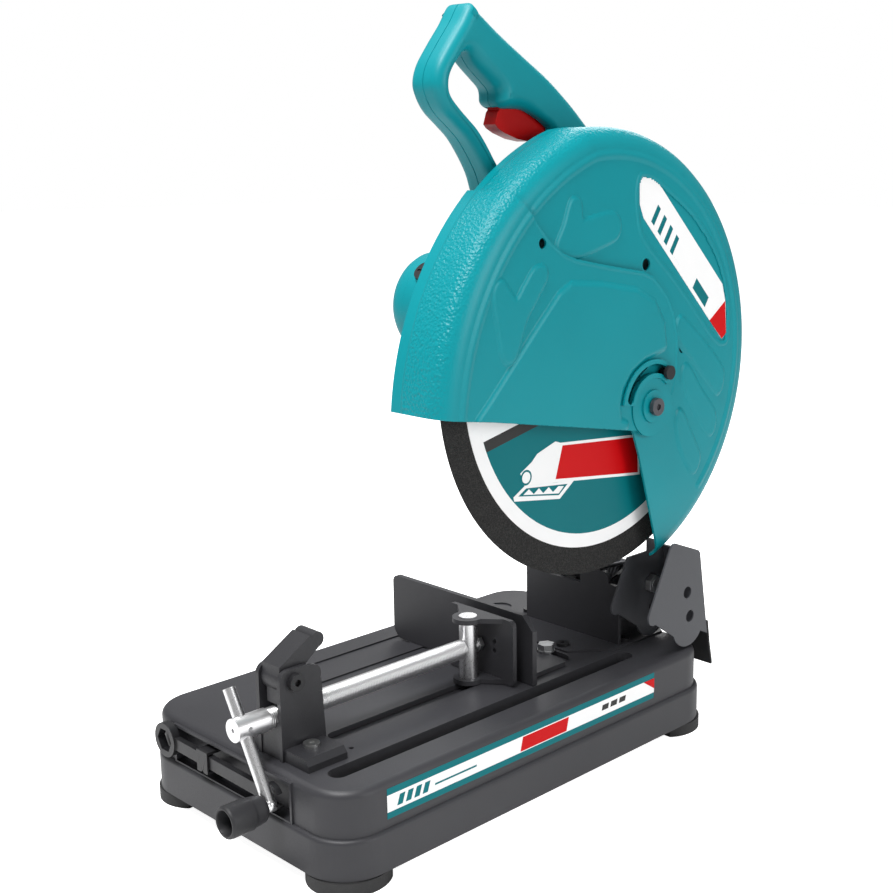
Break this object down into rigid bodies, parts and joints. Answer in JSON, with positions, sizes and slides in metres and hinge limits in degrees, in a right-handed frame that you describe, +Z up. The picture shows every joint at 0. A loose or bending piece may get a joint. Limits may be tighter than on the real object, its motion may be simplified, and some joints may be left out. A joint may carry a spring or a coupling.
{
  "type": "abrasive chop saw",
  "caption": "Bench-standing abrasive cut-off saw: guarded wheel on a hinged motor head over a slotted steel base with a quick-release screw vise and an angled fence.",
  "frame": {"origin": "on the ground under the middle of the base, at the centre of the four bench holes in the feet", "axes": "+Z up, -Y towards the operator and the crank, +X towards the open face of the wheel guard"},
  "size_m": [0.2745, 0.5505, 0.6208],
  "materials": {
    "charcoal_paint": "satin powder coat",
    "cast_paint": "rough cast, painted",
    "teal_paint": "satin powder coat, hammered on the rim",
    "teal_plastic": "fine texture",
    "red_plastic": "smooth",
    "black_plastic": "fine texture",
    "foot_rubber": "matte",
    "gland_rubber": "matte",
    "bright_steel": "turned",
    "zinc_steel": "zinc plated",
    "dark_steel": "blackened",
    "black_steel": "black oxide",
    "galvanised": "grey coat",
    "bronze": "sintered",
    "copper_steel": "windings and laminations",
    "abrasive": "coarse grit",
    "label_print": "printed paper",
    "carbon": "pressed carbon"
  },
  "bodies": {
    "stand": {"base": "charcoal_paint", "foot_front_right": "foot_rubber", "foot_front_left": "foot_rubber", "foot_rear_right": "foot_rubber", "foot_rear_left": "foot_rubber", "foot_screws": "zinc_steel", "spanner_clip": "dark_steel", "vise_bracket": "cast_paint", "bracket_screws": "zinc_steel", "lever_bolt": "black_steel", "fence_bolts": "zinc_steel", "turret": "charcoal_paint", "turret_screws": "black_steel", "hinge_bolt": "zinc_steel", "hinge_nut": "zinc_steel", "return_spring": "dark_steel", "depth_stop": "zinc_steel", "deflector": "galvanised", "deflector_screw": "black_steel", "flap": "gland_rubber"},
    "head": {"gear_head": "cast_paint", "hinge_bushes": "bronze", "guard_fixed": "teal_paint", "guard_pivot": "dark_steel", "guard_lock": "black_steel", "guard_screws": "zinc_steel", "spindle_bearing": "bright_steel", "motor_bearings": "bright_steel", "stator": "copper_steel", "motor_case": "teal_plastic", "motor_end": "teal_plastic", "motor_screws": "black_steel", "brush_caps": "black_plastic", "brushes": "carbon", "handle_left": "teal_plastic", "handle_right": "teal_plastic", "handle_screws": "black_steel", "trigger_pin": "zinc_steel", "switch": "black_plastic", "cord_gland": "gland_rubber"},
    "wheel_drive": {"spindle": "bright_steel", "gear": "bright_steel", "flange_inner": "dark_steel", "flange_outer": "dark_steel", "wheel": "abrasive", "wheel_label": "label_print", "arbor_bolt": "zinc_steel"},
    "rotor": {"armature": "copper_steel", "fan": "black_plastic"},
    "swing_guard": {"guard_swing": "teal_paint"},
    "trigger": {"trigger": "red_plastic"},
    "jaw_carriage": {"jaw_pin": "bright_steel"},
    "jaw": {"jaw": "charcoal_paint"},
    "crank": {"vise_screw": "bright_steel", "screw_retainer": "zinc_steel", "crank_bar": "bright_steel"},
    "crank_grip": {"crank_grip": "black_plastic"},
    "release_lever": {"release_lever": "cast_paint"},
    "fence": {"fence": "charcoal_paint"},
    "spanner": {"spanner": "dark_steel"}
  },
  "joints": [
    {"name": "head_tilt", "type": "hinge", "parent": "stand", "child": "head", "pos_m": [0, 0.186, 0.129], "axis": [1, 0, 0], "range_deg": [0, 41], "stiffness_Nm_per_rad": 14, "springref_deg": -68.75},
    {"name": "wheel_spin", "type": "hinge", "parent": "head", "child": "wheel_drive", "pos_m": [0.086, 0.1, 0.341], "axis": [1, 0, 0], "continuous": true},
    {"name": "rotor_spin", "type": "hinge", "parent": "head", "child": "rotor", "pos_m": [-0.06, 0.11794, 0.37207], "axis": [1, 0, 0], "continuous": true},
    {"name": "guard_lift", "type": "hinge", "parent": "head", "child": "swing_guard", "pos_m": [0.106, 0.143, 0.302], "axis": [-1, 0, 0], "range_deg": [0, 105]},
    {"name": "trigger_pull", "type": "hinge", "parent": "head", "child": "trigger", "pos_m": [0.03, 0.084, 0.537], "axis": [-1, 0, 0], "range_deg": [0, 6], "stiffness_Nm_per_rad": 1.5, "springref_deg": -11.46},
    {"name": "jaw_slide", "type": "slide", "parent": "stand", "child": "jaw_carriage", "axis": [0, -1, 0], "range_m": [0, 0.135]},
    {"name": "jaw_swivel", "type": "hinge", "parent": "jaw_carriage", "child": "jaw", "pos_m": [0.031, 0, 0.105], "axis": [0, 0, 1], "range_deg": [-12, 3]},
    {"name": "screw_turn", "type": "hinge", "parent": "jaw_carriage", "child": "crank", "pos_m": [0.031, -0.1, 0.107], "axis": [0, -1, 0], "continuous": true},
    {"name": "grip_spin", "type": "hinge", "parent": "crank", "child": "crank_grip", "pos_m": [0.05999, -0.24, 0.05699], "axis": [0, -1, 0], "continuous": true},
    {"name": "lever_flip", "type": "hinge", "parent": "stand", "child": "release_lever", "pos_m": [0.031, -0.187, 0.1355], "axis": [1, 0, 0], "range_deg": [0, 60]},
    {"name": "fence_turn", "type": "hinge", "parent": "stand", "child": "fence", "pos_m": [0.05, 0.044, 0.08], "axis": [0, 0, 1], "range_deg": [-15, 0]},
    {"name": "spanner_slide", "type": "slide", "parent": "stand", "child": "spanner", "axis": [-1, 0, 0], "range_m": [0, 0.06]}
  ],
  "couplings": [
    {"joint": "rotor_spin", "follows": "wheel_spin", "ratio": -4.0909}
  ]
}
